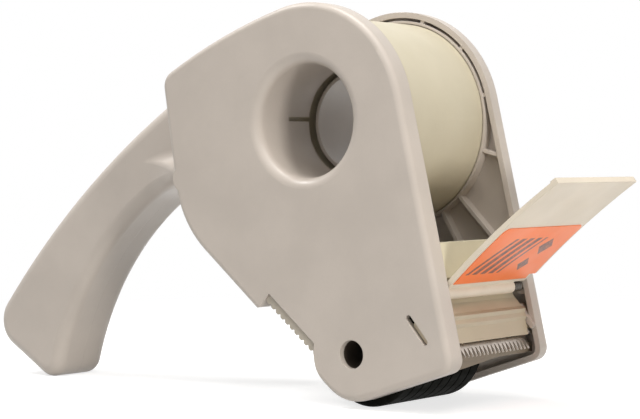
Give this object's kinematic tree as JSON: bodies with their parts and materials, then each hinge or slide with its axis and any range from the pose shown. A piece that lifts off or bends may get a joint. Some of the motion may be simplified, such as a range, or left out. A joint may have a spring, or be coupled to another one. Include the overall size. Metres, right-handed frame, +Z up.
{
  "type": "tape dispenser",
  "caption": "Hand-held packing tape dispenser with a pistol grip, a turning core drum, a rubber roller, a toothed blade behind a sliding guard and a hinged wiper flap.",
  "frame": {"origin": "centre of the bounding box on the surface it stands on, which the roller and the end of the grip touch", "axes": "+X towards the cutting end, +Z up, and +Y to the left of a person who holds the grip and looks along +X. The left frame is the one on the -Y side, named as someone who faces the cutting end sees it. The hub axis and the roller axis are parallel to Y"},
  "size_m": [0.2764, 0.0666, 0.144],
  "materials": {
    "body_plastic": "satin putty-grey moulding with a fine spark-eroded grain",
    "bridge_plastic": "satin putty-beige moulding",
    "guide_plastic": "satin putty-grey moulding",
    "drum_plastic": "warm beige satin moulding",
    "bearing_plastic": "natural acetal",
    "axle_plastic": "dark moulded tube",
    "roller_plastic": "dark grey moulding",
    "roller_rubber": "matte black rubber",
    "flap_plastic": "pale beige satin moulding",
    "label_film": null,
    "guard_plastic": "warm beige satin moulding",
    "holder_plastic": "pale beige satin moulding",
    "blade_steel": "ground blade steel",
    "spring_steel": "drawn spring wire",
    "plated_steel": "zinc plated",
    "felt": "pressed felt washer"
  },
  "bodies": {
    "frame": {"left_frame": "body_plastic", "right_frame": "body_plastic", "front_bridge": "bridge_plastic", "rear_guide": "guide_plastic", "brake_spring": "spring_steel", "brake_ring": "plated_steel", "brake_pad": "felt", "roller_axle": "axle_plastic", "flap_pin": "plated_steel", "flap_spring": "spring_steel", "blade": "blade_steel", "blade_holder": "holder_plastic", "frame_screw_1": "plated_steel", "frame_screw_2": "plated_steel", "frame_screw_3": "plated_steel", "frame_screw_4": "plated_steel", "guard_spring_1": "spring_steel", "guard_spring_2": "spring_steel", "blade_screw_1": "plated_steel", "blade_screw_2": "plated_steel"},
    "drum": {"core_drum": "drum_plastic", "drum_sleeve": "bearing_plastic"},
    "roller": {"roller_core": "roller_plastic", "roller_sleeve": "roller_rubber", "roller_bush_left": "bearing_plastic", "roller_bush_right": "bearing_plastic"},
    "flap": {"wiper_flap": "flap_plastic", "flap_label": "label_film"},
    "guard": {"blade_guard": "guard_plastic"}
  },
  "joints": [
    {"name": "drum_spin", "type": "hinge", "parent": "frame", "child": "drum", "pos_m": [0.039, 0, 0.10185], "axis": [0, 1, 0], "continuous": true},
    {"name": "roller_spin", "type": "hinge", "parent": "frame", "child": "roller", "pos_m": [0.0598, 0, 0.01945], "axis": [0, 1, 0], "continuous": true},
    {"name": "flap_hinge", "type": "hinge", "parent": "frame", "child": "flap", "pos_m": [0.0924, 0, 0.04155], "axis": [0, 1, 0], "range_deg": [-10, 35], "stiffness_Nm_per_rad": 0.25},
    {"name": "guard_slide", "type": "slide", "parent": "frame", "child": "guard", "axis": [-0.6428, 0, 0.766], "range_m": [0, 0.003], "stiffness_N_per_m": 150, "springref_m": -0.003, "deforming": ["guard_spring_1", "guard_spring_2"]}
  ]
}
